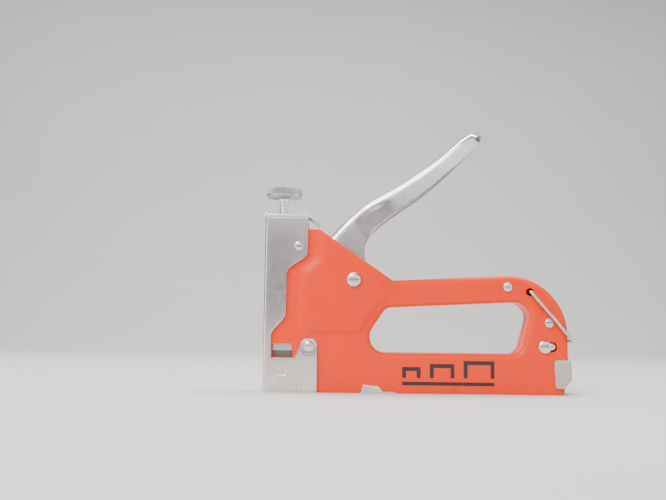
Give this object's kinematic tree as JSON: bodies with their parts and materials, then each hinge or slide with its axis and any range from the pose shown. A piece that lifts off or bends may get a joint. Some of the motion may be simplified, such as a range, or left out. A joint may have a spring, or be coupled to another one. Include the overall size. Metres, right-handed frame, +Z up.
{
  "type": "staple gun",
  "caption": "Hand-squeezed staple gun with a sheet-steel body, bright channel lever, knurled spring adjuster, pull-out bottom magazine and wire lever lock.",
  "frame": {"origin": "on the plane that the gun stands on, under the middle of its overall box", "axes": "+X back along the magazine from the nose to the end cap, +Y across the gun, +Z up towards the adjusting knob"},
  "size_m": [0.1537, 0.0228, 0.131],
  "materials": {
    "casing_enamel": "smooth semi-gloss orange enamel on sheet steel",
    "bright_nickel": "bright nickel plate, slightly smudged",
    "rivet_nickel": "nickel-plated rivet heads",
    "plain_steel": "zinc-plated steel",
    "hard_steel": "hardened ground steel",
    "spring_steel": "oiled spring wire and strip",
    "wire_steel": "drawn bright steel wire",
    "knob_zinc": "knurled satin zinc",
    "cap_enamel": "pale grey satin enamel",
    "bumper_rubber": "light grey rubber"
  },
  "bodies": {
    "frame": {"casing_right": "casing_enamel", "casing_left": "casing_enamel", "nose_cover": "bright_nickel", "top_plate": "bright_nickel", "screw_nut": "plain_steel", "bumper": "bumper_rubber", "lever_pivot": "rivet_nickel", "pivot_washers": "plain_steel", "return_spring": "spring_steel", "magazine_channel": "bright_nickel", "catch_pin": "rivet_nickel", "catch_spring": "spring_steel", "nose_rivets_upper": "rivet_nickel", "nose_rivet_lower": "rivet_nickel", "grip_rivets": "rivet_nickel", "spacers": "plain_steel"},
    "lever": {"squeeze_lever": "bright_nickel", "roller_pin": "hard_steel"},
    "roller": {"lifting_roller": "hard_steel"},
    "striker": {"striker_carrier": "plain_steel", "driver_blade": "hard_steel", "lifting_bracket": "plain_steel", "striker_rivets": "plain_steel"},
    "seat": {"spring_seat": "plain_steel", "main_spring": "spring_steel"},
    "adjuster": {"adjusting_screw": "plain_steel", "adjusting_knob": "knob_zinc"},
    "magazine_slide": {"magazine_rail": "plain_steel", "guide_rod": "hard_steel", "rear_block": "plain_steel", "end_cap": "cap_enamel", "cap_rivet": "rivet_nickel", "pusher_spring": "spring_steel"},
    "follower": {"pusher": "plain_steel"},
    "lever_lock": {"lock_wire": "wire_steel"}
  },
  "joints": [
    {"name": "lever_squeeze", "type": "hinge", "parent": "frame", "child": "lever", "pos_m": [-0.03075, 0, 0.0551], "axis": [0, 1, 0], "range_deg": [0, 45], "stiffness_Nm_per_rad": 0.2, "springref_deg": -34.38, "deforming": ["return_spring"]},
    {"name": "roller_turn", "type": "hinge", "parent": "lever", "child": "roller", "pos_m": [-0.05393, 0, 0.04889], "axis": [0, 1, 0], "continuous": true},
    {"name": "striker_lift", "type": "slide", "parent": "frame", "child": "striker", "axis": [0, 0, 1], "range_m": [0, 0.01825], "stiffness_N_per_m": 500, "springref_m": -0.01, "deforming": ["main_spring"]},
    {"name": "seat_feed", "type": "slide", "parent": "frame", "child": "seat", "axis": [0, 0, 1], "range_m": [-0.00485, 0.00122], "deforming": ["main_spring"]},
    {"name": "knob_turn", "type": "hinge", "parent": "seat", "child": "adjuster", "pos_m": [-0.0663, 0, 0.09], "axis": [0, 0, 1], "range_deg": [-2160, 540]},
    {"name": "magazine_pull", "type": "slide", "parent": "frame", "child": "magazine_slide", "axis": [1, 0, 0], "range_m": [0, 0.12], "deforming": ["catch_spring"]},
    {"name": "pusher_slide", "type": "slide", "parent": "magazine_slide", "child": "follower", "axis": [1, 0, 0], "range_m": [0, 0.112], "stiffness_N_per_m": 15, "springref_m": -0.04, "deforming": ["pusher_spring"]},
    {"name": "lock_swing", "type": "hinge", "parent": "frame", "child": "lever_lock", "pos_m": [0.0561, 0, 0.05], "axis": [0, -1, 0], "range_deg": [0, 186]}
  ],
  "couplings": [
    {"joint": "striker_lift", "follows": "lever_squeeze", "m_per_rad": 0.023188},
    {"joint": "seat_feed", "follows": "knob_turn", "m_per_rad": 0.00012732}
  ]
}
